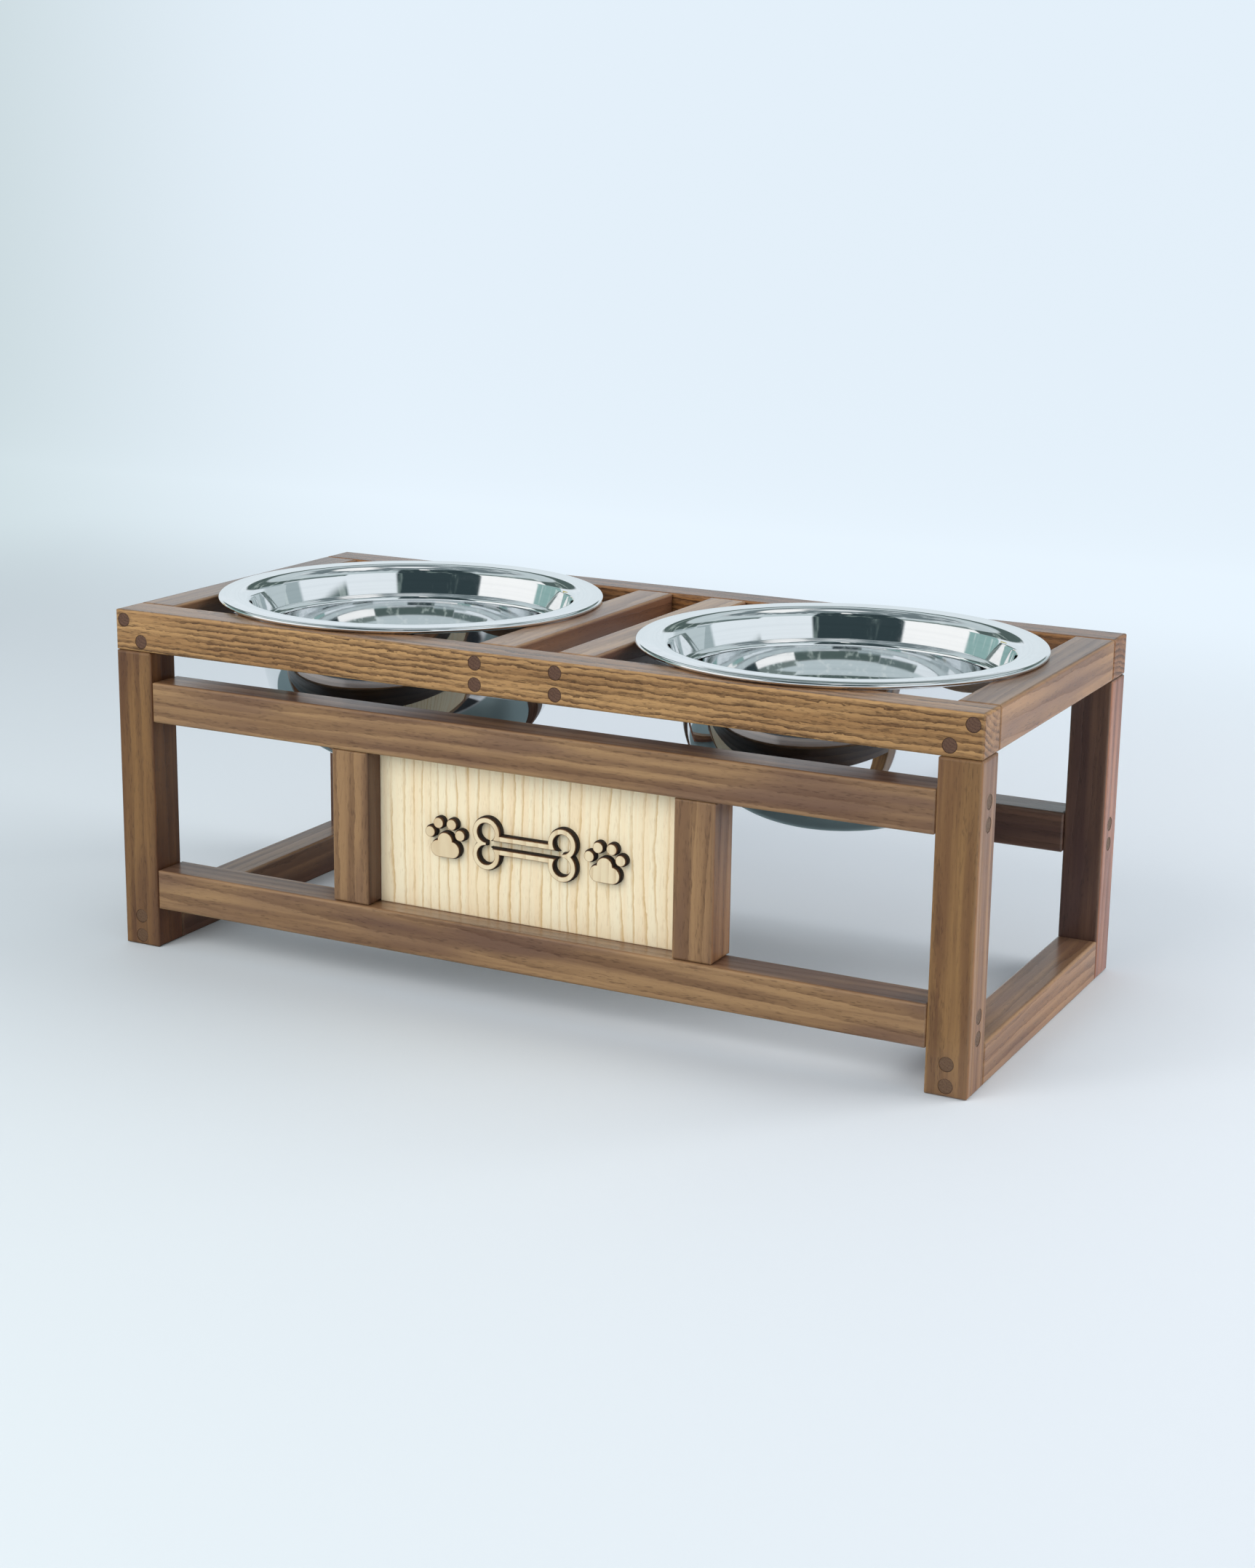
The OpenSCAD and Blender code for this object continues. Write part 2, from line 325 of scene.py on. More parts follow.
class BlockEdges(SharedGroup):
    """How near a point lies to the edges and to the ends of a squared block."""

    title = "block_edges"
    vectors = ("Position", "Half Size")
    numbers = ("Width", "End Depth", "Breakup")
    results = ("Edge", "End")

    @classmethod
    def wire(cls, graph: Graph, given: Sockets, sink: Node) -> None:
        """The second smallest depth under the faces is the distance to an edge."""
        inside = graph.vector("SUBTRACT", given["Half Size"], graph.vector("ABSOLUTE", given["Position"]))
        x, y, z = graph.split(inside)
        lower = graph.math("MINIMUM", x, y)
        upper = graph.math("MAXIMUM", x, y)
        middle = graph.math("MAXIMUM", lower, graph.math("MINIMUM", upper, z))
        patch = graph.noise(given["Position"], (90, 160, 160), 3.0, 0.6)
        broken = graph.math("MULTIPLY", graph.math("SUBTRACT", patch, 0.5), given["Breakup"])
        near = graph.math("SUBTRACT", 1.0, graph.math("DIVIDE", middle, given["Width"]))
        edge = graph.math("ADD", near, broken, clamp=True)
        end = graph.math("SUBTRACT", 1.0, graph.math("DIVIDE", x, given["End Depth"]), clamp=True)
        limit = graph.math("MULTIPLY_ADD", near, 1.0, 0.0, clamp=True)
        graph.fill(sink, {"Edge": graph.math("MULTIPLY", edge, limit), "End": end})


class HandMarks(SharedGroup):
    """Smudges, wipe marks and fine scratches on a polished surface."""

    title = "hand_marks"
    vectors = ("Position",)
    results = ("Smudge", "Scratch")

    @classmethod
    def wire(cls, graph: Graph, given: Sockets, sink: Node) -> None:
        """Two sizes of noise, and thin lines where a bent wave crosses zero."""
        place = given["Position"]
        wide = graph.noise(place, 16.0, 4.0, 0.6)
        small = graph.noise(place, 90.0, 3.0, 0.6)
        smudge = graph.math("MULTIPLY", graph.ramp(wide, 0.45, 0.75), graph.ramp(small, 0.35, 0.65))
        hair = graph.noise(place, (700, 160, 240), 2.0)
        gate = graph.ramp(graph.noise(place, 40.0, 1.0), 0.5, 0.62)
        crossing = graph.math("ABSOLUTE", graph.math("SUBTRACT", hair, 0.5))
        line = graph.math("SUBTRACT", 1.0, graph.ramp(crossing, 0.0, 0.03))
        graph.fill(sink, {"Smudge": smudge, "Scratch": graph.math("MULTIPLY", line, gate)})


def new_material(name: str) -> tuple[Material, Graph, Node]:
    """Makes a material with a Principled shader on its output.

    Args:
        name: The material's name.

    Returns:
        The material, its graph and the shader node.
    """
    material = bpy.data.materials.new(name)
    material.use_nodes = True
    material.node_tree.nodes.clear()
    graph = Graph(material.node_tree)
    shader = graph.add("ShaderNodeBsdfPrincipled")
    graph.add("ShaderNodeOutputMaterial", {"Surface": shader.outputs[0]})
    return material, graph, shader


@dataclass(frozen=True)
class Stain:
    """Colours and strengths of one stained timber.

    The colours are those of the early wood, of the darker streaks, of broad reddish
    clouds, of the late-wood lines, of the pores, and of the worn edges, which also carries a
    painted highlight where the edges face up.
    """

    light: Colour
    mid: Colour
    cloud: Colour
    late: Colour
    pore: Colour
    wear_and_highlight: Colour
    cloud_share: float = 0.8
    late_share: float = 0.5
    pore_share: float = 0.35
    wear_and_highlight_share: float = 0.6
    ring_gap: float = 7.0 * MM
    slope: float = 0.015
    wander: float = 12.0 * MM
    ripple: float = 2.0 * MM
    ragged: float = 1.0 * MM
    line_width: float = 0.6
    relief: float = 0.2 * MM
    rough: float = 0.38

    def toned(self, tint: Colour) -> "Stain":
        """The same stain with every colour multiplied by the tint."""
        toned = {}
        for name in ("light", "mid", "cloud", "late", "pore", "wear_and_highlight"):
            toned[name] = tuple(part * share for part, share in zip(getattr(self, name), tint))
        return replace(self, **toned)


@dataclass(frozen=True)
class Member:
    """One squared timber: its node, grain, stain, pith and seed, and painted tints of three faces.

    The pith is where the rings' middle lies from the timber's own. The last three tints are
    painted light and shade on the faces that look right, up and back.
    """

    node: str
    grain: Grain
    stain: Stain
    pith: Pair
    seed: float
    flank_light_shade: Colour = (1.14, 0.98, 0.85)
    crown_light_shade: Colour = (0.78, 0.72, 0.76)
    inner: Colour = (0.85, 0.85, 0.85)


@dataclass(frozen=True)
class WoodFinish:
    """The stained or bare wood of one member, read from the middle of the member's box.

    Varnish is the weight of the coat on every face but the top, which is fully coated.
    """

    member: Member
    centre: Vector
    half: Vector
    varnish: float = 0.5
    coat_rough: float = 0.24
    specular: float = 0.25
    edge_width: float = 2.2 * MM
    edge_breakup: float = 0.9
    end_depth: float = 1.4 * MM
    end_share: float = 0.3
    faces: Pair = (0.5, 0.9)

    def build(self) -> Material:
        """The finished material."""
        member, stain = self.member, self.member.stain
        material, graph, shader = new_material(member.node + "_wood")
        coordinates = graph.add("ShaderNodeTexCoord")
        turn = Matrix.Identity(3)
        for angle, axis in zip(member.grain.value, "XYZ"):
            turn = Matrix.Rotation(angle, 3, axis) @ turn
        laid = graph.turned(coordinates.outputs["Object"], -(turn @ self.centre), member.grain.value)
        figure = TimberGrain.place(graph, {
            "Position": laid,
            "Pith": (0.0, *member.pith),
            "Seed": (member.seed, member.seed * 1.7, member.seed * 0.6),
            "Slope": (0.0, stain.slope, -stain.slope),
            "Ring Gap": stain.ring_gap,
            "Wander": stain.wander,
            "Ripple": stain.ripple,
            "Ragged": stain.ragged,
            "Line Width": stain.line_width,
        }).outputs
        edges = BlockEdges.place(graph, {
            "Position": laid,
            "Half Size": tuple(abs(part) for part in turn @ self.half),
            "Width": self.edge_width,
            "End Depth": self.end_depth,
            "Breakup": self.edge_breakup,
        }).outputs
        tone = graph.blend(graph.ramp(figure["Streak"], 0.36, 0.66), stain.light, stain.mid)
        tone = graph.blend(graph.ramp(figure["Cloud"], 0.42, 0.66, 0.0, stain.cloud_share), tone, stain.cloud)
        tone = graph.layer(figure["Late"], stain.late_share, tone, stain.late)
        tone = graph.layer(figure["Pores"], stain.pore_share, tone, stain.pore)
        right, back, up = graph.split(coordinates.outputs["Normal"])
        # Painted light and shade: faces that look right, up and back take their member's tints.
        for facing, tint in ((right, member.flank_light_shade), (up, member.crown_light_shade), (back, member.inner)):
            tinted = graph.blend(1.0, tone, tint, "MULTIPLY")
            tone = graph.blend(graph.ramp(facing, *self.faces), tone, tinted)
        # Worn edges, partly real wear and partly a painted highlight: edges that face up take more of the
        # lighter colour.
        wear_and_highlight_mask = graph.math("MULTIPLY", edges["Edge"], graph.ramp(up, -0.3, 0.5, 0.35, 1.0))
        tone = graph.layer(wear_and_highlight_mask, stain.wear_and_highlight_share, tone, stain.wear_and_highlight)
        tone = graph.layer(edges["End"], self.end_share, tone, stain.pore)
        dull = graph.math("MULTIPLY_ADD", figure["Late"], 0.10, stain.rough)
        graph.fill(shader, {
            "Base Color": tone,
            "Roughness": graph.math("MULTIPLY_ADD", figure["Streak"], 0.12, dull),
            "Coat Weight": graph.ramp(up, *self.faces, self.varnish, 1.0),
            "Coat Roughness": self.coat_rough,
            "Specular IOR Level": self.specular,
            "Normal": graph.bump(figure["Height"], stain.relief),
        })
        return material


@dataclass(frozen=True)
class PlugFinish:
    """Stained end grain on the round dowel ends, read from the plugs' own attribute.

    The pith's place is in plug radii. Outline is how strongly the rim shows.
    """

    name: str
    core: Colour
    ring: Colour
    rim: Colour
    outline: float
    pith: Triple = (0.9, 1.6, 0.0)
    ring_pace: float = 15.0
    pore_share: float = 0.35
    relief: float = 0.15 * MM

    def build(self) -> Material:
        """The finished material."""
        material, graph, shader = new_material(self.name)
        across, up, radius = graph.split(graph.attribute(DowelSet.ATTRIBUTE, "Vector"))
        flat = graph.join(across, up, 0.0)
        place = graph.add("ShaderNodeTexCoord").outputs["Object"]
        stir = graph.math("SUBTRACT", graph.noise(place, 120.0, 2.0), 0.5)
        away = graph.vector("LENGTH", graph.vector("SUBTRACT", flat, self.pith))
        bent = graph.math("MULTIPLY_ADD", stir, 0.5, away)
        rings = graph.math("SINE", graph.math("MULTIPLY", bent, self.ring_pace))
        pores = graph.ramp(graph.noise(place, 1400.0, 1.0), 0.52, 0.66)
        tone = graph.blend(graph.ramp(rings, -0.4, 1.0, 0.0, 0.55), self.core, self.ring)
        tone = graph.layer(pores, self.pore_share, tone, self.rim)
        tone = graph.blend(graph.ramp(radius, 0.90, 0.99, 0.0, self.outline), tone, self.rim)
        height = graph.math("MULTIPLY_ADD", pores, -0.6, graph.math("MULTIPLY", rings, 0.2))
        graph.fill(shader, {
            "Base Color": tone,
            "Roughness": graph.math("MULTIPLY_ADD", pores, 0.15, 0.5),
            "Normal": graph.bump(height, self.relief),
        })
        return material


@dataclass(frozen=True)
class CutWoodFinish:
    """Laser-cut wood: a face with upright grain, toasted at the cut, and scorched sides."""

    name: str
    face: Colour
    line: Colour
    toast: Colour
    scorch: Colour
    relief: float = 0.12 * MM

    def build(self) -> Material:
        """The finished material."""
        material, graph, shader = new_material(self.name)
        coordinates = graph.add("ShaderNodeTexCoord")
        place = coordinates.outputs["Object"]
        laid = graph.turned(place, Vector(), ALONG_Z.value)
        figure = TimberGrain.place(graph, {
            "Position": laid,
            "Pith": (0.0, 0.02, 0.06),
            "Seed": (0.3, 0.2, 0.5),
            "Ring Gap": 3.5 * MM,
            "Wander": 5.0 * MM,
            "Ripple": 0.8 * MM,
            "Ragged": 0.4 * MM,
            "Line Width": 0.5,
        }).outputs
        _, facing, _ = graph.split(coordinates.outputs["Normal"])
        side = graph.ramp(graph.math("ABSOLUTE", facing), 0.35, 0.8, 1.0, 0.0)
        rim = graph.attribute(Motif.ATTRIBUTE)
        smoke = graph.noise(place, 260.0, 3.0, 0.6)
        tone = graph.layer(figure["Late"], 0.6, self.face, self.line)
        toasted = graph.math("MULTIPLY", graph.ramp(rim, 0.45, 1.0), graph.ramp(smoke, 0.2, 0.7, 0.45, 1.0))
        tone = graph.blend(toasted, tone, self.toast)
        burnt = graph.blend(graph.ramp(smoke, 0.3, 0.75, 0.0, 0.5), self.scorch, self.toast)
        tone = graph.blend(side, tone, burnt)
        height = graph.math("MULTIPLY_ADD", smoke, 0.4, figure["Height"])
        graph.fill(shader, {
            "Base Color": tone,
            "Roughness": graph.math("MULTIPLY_ADD", side, 0.15, 0.55),
            "Normal": graph.bump(height, self.relief),
        })
        return material


@dataclass(frozen=True)
class SteelFinish:
    """Polished stainless sheet with fine turning lines about the bowl's axis.

    The roughness grows by a share where the sheet is smudged, turned or scratched. The outside
    colour is painted shade: a darker steel on the bowl's outer side.
    """

    name: str
    centre: Vector
    clean: Colour = (0.93, 0.935, 0.94)
    dull: Colour = (0.84, 0.85, 0.86)
    outside: Colour = (0.76, 0.78, 0.80)
    rough: float = 0.02
    smudged: float = 0.07
    turned: float = 0.02
    scratched: float = 0.06
    relief: float = 0.006 * MM

    def build(self) -> Material:
        """The finished material."""
        material, graph, shader = new_material(self.name)
        place = graph.add("ShaderNodeTexCoord").outputs["Object"]
        centred = graph.turned(place, -self.centre, ALONG_X.value)
        across, along, up = graph.split(centred)
        radius = graph.vector("LENGTH", graph.join(across, along, 0.0))
        spun = graph.noise(graph.join(radius, up, 0.0), (2600, 2600, 1), 2.0)
        lathe = graph.noise(graph.join(radius, up, 0.0), (420, 420, 1), 2.0)
        marks = HandMarks.place(graph, {"Position": centred}).outputs
        tone = graph.blend(graph.ramp(lathe, 0.35, 0.7, 0.0, 0.5), self.clean, self.dull)
        tone = graph.layer(marks["Smudge"], 0.35, tone, self.dull)
        # Painted shade: the bowl's outer side takes the darker outside colour.
        tone = graph.blend(graph.attribute(Bowl.ATTRIBUTE), tone, self.outside)
        rough = graph.math("MULTIPLY_ADD", marks["Smudge"], self.smudged, self.rough)
        rough = graph.math("MULTIPLY_ADD", spun, self.turned, rough)
        graph.fill(shader, {
            "Base Color": tone,
            "Metallic": 1.0,
            "Roughness": graph.math("MULTIPLY_ADD", marks["Scratch"], self.scratched, rough),
            "Normal": graph.bump(graph.math("MULTIPLY_ADD", spun, 0.25, lathe), self.relief, 0.5),
        })
        return material


BLACK: Colour = (0.0, 0.0, 0.0)
# Painted shade for faces that look back into the stand.
SHADED: Colour = (0.22, 0.20, 0.22)
WALNUT_RAIL = Stain(
    srgb(188, 146, 96), srgb(160, 120, 76), srgb(146, 106, 68), srgb(92, 62, 38),
    srgb(74, 48, 32), srgb(212, 168, 110), cloud_share=0.5, late_share=0.9, pore_share=0.4,
    wear_and_highlight_share=0.8, ring_gap=3.9 * MM, slope=0.025, wander=5.0 * MM, ripple=3.6 * MM, ragged=3.0 * MM,
    relief=0.9 * MM, rough=0.42)
WALNUT_SMOOTH = Stain(
    srgb(168, 133, 94), srgb(136, 104, 75), srgb(114, 86, 72), srgb(92, 62, 44),
    srgb(66, 44, 34), srgb(190, 150, 104), ring_gap=7.5 * MM, slope=0.02, ripple=2.4 * MM,
    ragged=1.2 * MM, relief=0.25 * MM)
WALNUT_LEG = Stain(
    srgb(148, 112, 70), srgb(120, 86, 56), srgb(100, 68, 52), srgb(88, 60, 42),
    srgb(62, 40, 32), srgb(174, 134, 92), late_share=0.45)
# Painted shade: a darker, more mauve walnut for the back legs and back stretcher, which sit in the stand's
# shade.
WALNUT_SHADED = Stain(
    srgb(118, 86, 68), srgb(92, 65, 55), srgb(80, 55, 51), srgb(68, 46, 38),
    srgb(52, 35, 30), srgb(150, 118, 90), late_share=0.4, ring_gap=6.5 * MM, wander=10.0 * MM)
PALE_PANEL = Stain(
    srgb(255, 241, 208), srgb(252, 229, 190), srgb(255, 237, 200), srgb(212, 172, 108),
    srgb(190, 152, 104), srgb(254, 240, 212), cloud_share=0.5, late_share=0.75, pore_share=0.2,
    ring_gap=7.5 * MM, slope=0.0, wander=22.0 * MM, ripple=3.4 * MM, ragged=1.4 * MM, line_width=0.24,
    relief=0.12 * MM, rough=0.55)


class Piece:
    """Small helpers that every sub-assembly shares."""

    WELD = 0.005 * MM
    FLAT = math.radians(1.0)
    # Least part of a face's normal along an axis, for a face across it and for one square to it
    ACROSS = 0.99
    SQUARE = 0.999

    @staticmethod
    def placed(node: str) -> tuple[Vector, Vector]:
        """Middle and half size of a CAD node's box."""
        low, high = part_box(node)
        return (low + high) / 2, (high - low) / 2

    @staticmethod
    def dress(piece: Object, material: Material) -> None:
        """Gives a piece one material in place of what it had."""
        piece.data.materials.clear()
        piece.data.materials.append(material)

    @staticmethod
    def welded(node: Object) -> Mesh:
        """A copy of a CAD node's mesh, with its loose triangles joined and merged flat.

        Args:
            node: The CAD node's object.

        Returns:
            The joined mesh, which the caller frees.
        """
        work = bmesh.new()
        work.from_mesh(node.data)
        bmesh.ops.remove_doubles(work, verts=work.verts, dist=Piece.WELD)
        bmesh.ops.dissolve_limit(work, angle_limit=Piece.FLAT, verts=work.verts, edges=work.edges,
                                 use_dissolve_boundaries=False, delimit=set())
        return work

    @staticmethod
    def round_off(work: Mesh, edges: set[bmesh.types.BMEdge], width: float) -> None:
        """Rounds edges off in two steps."""
        bmesh.ops.bevel(work, geom=list(edges), offset=width, offset_type="OFFSET", segments=2,
                        profile=0.5, affect="EDGES", material=-1, clamp_overlap=True)

    @staticmethod
    def finish_mesh(work: Mesh, name: str, smooth_angle: float) -> Object:
        """Turns a bmesh into an object at the origin, smooth apart from its sharp edges.

        Args:
            work: The mesh, which is freed here.
            name: The new object's name.
            smooth_angle: Angle between faces past which an edge stays sharp, in degrees.

        Returns:
            The new object.
        """
        bmesh.ops.recalc_face_normals(work, faces=work.faces)
        limit = math.radians(smooth_angle)
        for edge in work.edges:
            edge.smooth = len(edge.link_faces) == 2 and edge.calc_face_angle(0.0) < limit
        for face in work.faces:
            face.smooth = True
        mesh = bpy.data.meshes.new(name)
        work.to_mesh(mesh)
        work.free()
        piece = bpy.data.objects.new(name, mesh)
        bpy.context.scene.collection.objects.link(piece)
        return piece


# The tints after each seed are painted light and shade on faces that look right, up and back.
MEMBERS = (
    Member("front_top_rail", ALONG_X, WALNUT_RAIL, (0.012, 0.055), 1.30, inner=SHADED),
    # Painted shade: the back rail takes a darker copy of the rail stain, as its seen face lies in the stand's
    # shade.
    Member("back_top_rail", ALONG_X, WALNUT_RAIL.toned((0.72, 0.60, 0.56)), (-0.020, -0.060), 2.10),
    Member("left_top_rail", ALONG_Y, WALNUT_SMOOTH, (0.050, 0.020), 3.40, (0.60, 0.50, 0.50)),
    Member("right_top_rail", ALONG_Y, WALNUT_SMOOTH, (-0.045, 0.030), 4.20, (1.04, 0.88, 0.76)),
    Member("left_cross_rail", ALONG_Y, WALNUT_SMOOTH, (0.030, -0.050), 5.60, (0.70, 0.58, 0.62),
           (1.15, 1.10, 1.12)),
    Member("right_cross_rail", ALONG_Y, WALNUT_SMOOTH, (0.020, 0.060), 6.70, (0.70, 0.58, 0.62),
           (1.15, 1.10, 1.12)),
    Member("front_left_leg", ALONG_Z, WALNUT_LEG.toned((0.85, 0.82, 0.82)), (0.030, 0.040), 7.10,
           (0.98, 0.80, 0.72)),
    Member("front_right_leg", ALONG_Z, WALNUT_LEG, (0.055, 0.015), 8.30),
    Member("back_left_leg", ALONG_Z, WALNUT_SHADED, (-0.040, 0.035), 9.50),
    Member("back_right_leg", ALONG_Z, WALNUT_SHADED, (0.035, -0.045), 10.20, (2.2, 1.7, 1.4)),
    Member("left_bottom_rail", ALONG_Y, WALNUT_SMOOTH, (0.040, 0.030), 11.40, (0.60, 0.50, 0.50)),
    Member("right_bottom_rail", ALONG_Y, WALNUT_SMOOTH, (0.025, 0.055), 12.60, (1.0, 0.84, 0.72),
           (0.90, 0.86, 0.92)),
    Member("front_upper_stretcher", ALONG_X, WALNUT_SMOOTH, (0.030, 0.050), 13.80, inner=SHADED),
    Member("front_lower_stretcher", ALONG_X, WALNUT_SMOOTH, (-0.050, 0.030), 14.50),
    Member("back_stretcher", ALONG_X, WALNUT_SHADED, (0.020, -0.050), 15.70),
    Member("left_stile", ALONG_Z, WALNUT_SMOOTH.toned((0.90, 0.88, 0.88)), (0.045, 0.040), 16.90,
           (0.44, 0.34, 0.36)),
    Member("right_stile", ALONG_Z, WALNUT_SMOOTH.toned((0.92, 0.90, 0.90)), (-0.045, 0.040), 17.30),
    Member("front_panel", ALONG_Z, PALE_PANEL, (0.010, 0.130), 18.20),
)


@dataclass
class TimberStand(Piece):
    """The stained members of the stand, the panel between the stiles and the hidden pins."""

    nodes: dict[str, Object]
    members: tuple[Member, ...] = MEMBERS
    hidden_pins: tuple[str, ...] = ("leg_pins", "stile_pins")

    def build(self, pin_material: Material) -> None:
        """Dresses each member in its own cut of the timber.

        Args:
            pin_material: Finish of the pins inside the joints.
        """
        for member in self.members:
            finish = WoodFinish(member, *self.placed(member.node))
            self.dress(self.nodes[member.node], finish.build())
            LOG.info("dressed %s", member.node)
        for name in self.hidden_pins:
            self.dress(self.nodes[name], pin_material)
            LOG.info("dressed %s", name)


@dataclass
class DowelSet(Piece):
    """The through dowels of one kind of joint, with eased and end-grained plugs."""

    node: Object
    axis: int
    ease: float = 0.25 * MM
    inset: float = 0.7 * MM
    fewest_corners: int = 8

    ATTRIBUTE = "plug_place"

    def build(self, material: Material) -> None:
        """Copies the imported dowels, eases their ends and marks each plug's own centre.

        Args:
            material: Finish of the plugs.
        """
        work = self.welded(self.node)
        caps = [f for f in work.faces if abs(f.normal[self.axis]) > self.ACROSS]
        self.round_off(work, {e for f in caps for e in f.edges}, self.ease)
        caps = [f for f in work.faces
                if abs(f.normal[self.axis]) > self.SQUARE and len(f.verts) > self.fewest_corners]
        bmesh.ops.inset_individual(work, faces=caps, thickness=self.inset, depth=0.0)
        self.mark(work)
        piece = self.finish_mesh(work, self.node.name + "_plugs", smooth_angle=40.0)
        self.dress(piece, material)
        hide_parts(self.node.name)
        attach(piece, STAND_BODY)
        LOG.info("built %s", piece.name)

    def mark(self, work: Mesh) -> None:
        """Writes each vertex's place on its own plug: two parts across, and the radius share."""
        layer = work.verts.layers.float_vector.new(self.ATTRIBUTE)
        first, second = [k for k in range(3) if k != self.axis]
        seen: set[Vert] = set()
        for start in work.verts:
            if start in seen:
                continue
            island = self.island(start)
            seen.update(island)
            centre = sum((v.co for v in island), Vector()) / len(island)
            places = {v: (v.co[first] - centre[first], v.co[second] - centre[second]) for v in island}
            reach = max(math.hypot(*place) for place in places.values())
            for vert, place in places.items():
                a, b = (part / reach for part in place)
                vert[layer] = (a, b, math.hypot(a, b))

    @staticmethod
    def island(start: Vert) -> list[Vert]:
        """All vertices joined to the first one by edges."""
        seen = {start}
        found = [start]
        for vert in found:
            for edge in vert.link_edges:
                other = edge.other_vert(vert)
                if other not in seen:
                    seen.add(other)
                    found.append(other)
        return found


@dataclass
class Motif(Piece):
    """One layer of the raised motif, with crisp eased edges and a marked rim."""

    node: Object
    slot_name: str
    ease: float = 0.18 * MM
    rim: float = 0.55 * MM
    level_error: float = 0.02 * MM

    ATTRIBUTE = "cut_rim"

    def build(self, material: Material) -> None:
        """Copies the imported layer, eases its front edges and marks the rim of its face.

        Args:
            material: Finish of the layer.
        """
        work = self.welded(self.node)
        fronts = [f for f in work.faces if f.normal.y < -self.ACROSS]
        rims = {e for f in fronts for e in f.edges if any(o.normal.y > -0.9 for o in e.link_faces)}
        self.round_off(work, rims, self.ease)
        level = min(v.co.y for v in work.verts)
        fronts = [f for f in work.faces
                  if f.normal.y < -self.SQUARE and abs(f.calc_center_median().y - level) < self.level_error]
        bmesh.ops.inset_region(work, faces=fronts, thickness=self.rim, depth=0.0, use_even_offset=True,
                               use_boundary=True)
        layer = work.verts.layers.float.new(self.ATTRIBUTE)
        inside = {v for f in fronts for v in f.verts}
        for vert in work.verts:
            vert[layer] = 0.0 if vert in inside else 1.0
        piece = self.finish_mesh(work, self.node.name + "_layer", smooth_angle=30.0)
        self.dress(piece, material)
        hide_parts(self.node.name)
        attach(piece, STAND_BODY)
        LOG.info("built %s", piece.name)


@dataclass
class Bowl(Piece):
    """A deep-drawn steel bowl with a flat lip, a curled bead and a crease under its shoulder."""

    node: Object
    body: str
    lip_width: float = 14.4 * MM
    bead: float = 3.6 * MM
    shoulder: float = 8.5 * MM
    flare: float = 15.0
    crease_depth: float = 20.6 * MM
    wall_radius: float = 104.5 * MM
    round_radius: float = 77.0 * MM
    sheet: float = 0.9 * MM
    curl_end: float = -150.0
    crease_fold: float = 0.7 * MM
    steps: int = 192
    weld: float = 0.01 * MM

    ATTRIBUTE = "outer_side"

    def arc(self, centre: Vector, radius: float, start: float, end: float, count: int) -> list[Vector]:
        """Points of an arc in the section plane, in steps between two angles from outwards."""
        angles = (math.radians(start + (end - start) * k / count) for k in range(count + 1))
        return [centre + radius * Vector((math.cos(a), math.sin(a))) for a in angles]

    def section(self) -> tuple[list[Vector], list[Vector]]:
        """The sheet's section as radius and height: out along the outside, and back inside."""
        low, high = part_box(self.node.name)
        rim = (high.x - low.x) / 2
        lean = math.radians(self.flare)
        shoulder_at = Vector((rim - self.lip_width, high.z - self.shoulder))
        flare_top = shoulder_at + self.shoulder * Vector((-math.cos(lean), math.sin(lean)))
        crease_z = high.z - self.crease_depth
        crease = flare_top.x - (flare_top.y - crease_z) * math.tan(lean)
        ledge = crease - self.wall_radius + self.sheet
        ledge_at = Vector((crease, crease_z - ledge))
        spread = self.crease_fold / (1 + math.sin(lean))
        fold_at = Vector((crease - spread * math.cos(lean), crease_z + self.crease_fold))
        meet = 90 + math.degrees(math.asin((crease - fold_at.x) / ledge))
        bead_at = Vector((rim - self.bead / 2, high.z - self.bead / 2))
        round_at = Vector((self.wall_radius - self.round_radius, low.z + self.round_radius))
        outside = [Vector((0.0, low.z))]
        outside += self.arc(round_at, self.round_radius, -90, 0, 36)
        outside += self.arc(ledge_at, ledge - self.sheet, 180, meet, 8)
        outside += self.arc(fold_at, self.crease_fold + self.sheet, -90, -self.flare, 6)
        outside += self.arc(shoulder_at, self.shoulder - self.sheet, 180 - self.flare, 90, 14)
        outside += self.arc(bead_at, self.bead / 2 - self.sheet, 90, self.curl_end, 14)
        inside = self.arc(bead_at, self.bead / 2, self.curl_end, 90, 28)
        inside += self.arc(shoulder_at, self.shoulder, 90, 180 - self.flare, 18)
        inside += self.arc(fold_at, self.crease_fold, -self.flare, -90, 5)
        inside += self.arc(ledge_at, ledge, meet, 180, 10)
        inside += self.arc(round_at, self.round_radius - self.sheet, 0, -90, 36)
        inside += [Vector((0.0, low.z + self.sheet))]
        return outside, inside

    def build(self, material: Material, name: str) -> None:
        """Spins the section about the bowl's axis.

        Args:
            material: Finish of the sheet.
            name: The piece's name.
        """
        centre, _ = self.placed(self.node.name)
        work = bmesh.new()
        layer = work.verts.layers.float.new(self.ATTRIBUTE)
        outside, inside = self.section()
        verts = [work.verts.new((centre.x + point.x, centre.y, point.y)) for point in outside + inside]
        for first, second in zip(verts, verts[1:]):
            work.edges.new((first, second))
        for vert in verts[:len(outside)]:
            vert[layer] = 1.0
        bmesh.ops.spin(work, geom=work.verts[:] + work.edges[:], cent=(centre.x, centre.y, 0.0),
                       axis=(0.0, 0.0, 1.0), angle=math.tau, steps=self.steps, use_merge=True,
                       use_duplicate=False)
        bmesh.ops.remove_doubles(work, verts=work.verts, dist=self.weld)
        piece = self.finish_mesh(work, name, smooth_angle=35.0)
        self.dress(piece, material)
        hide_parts(self.node.name)
        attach(piece, self.body)
        LOG.info("built %s", piece.name)


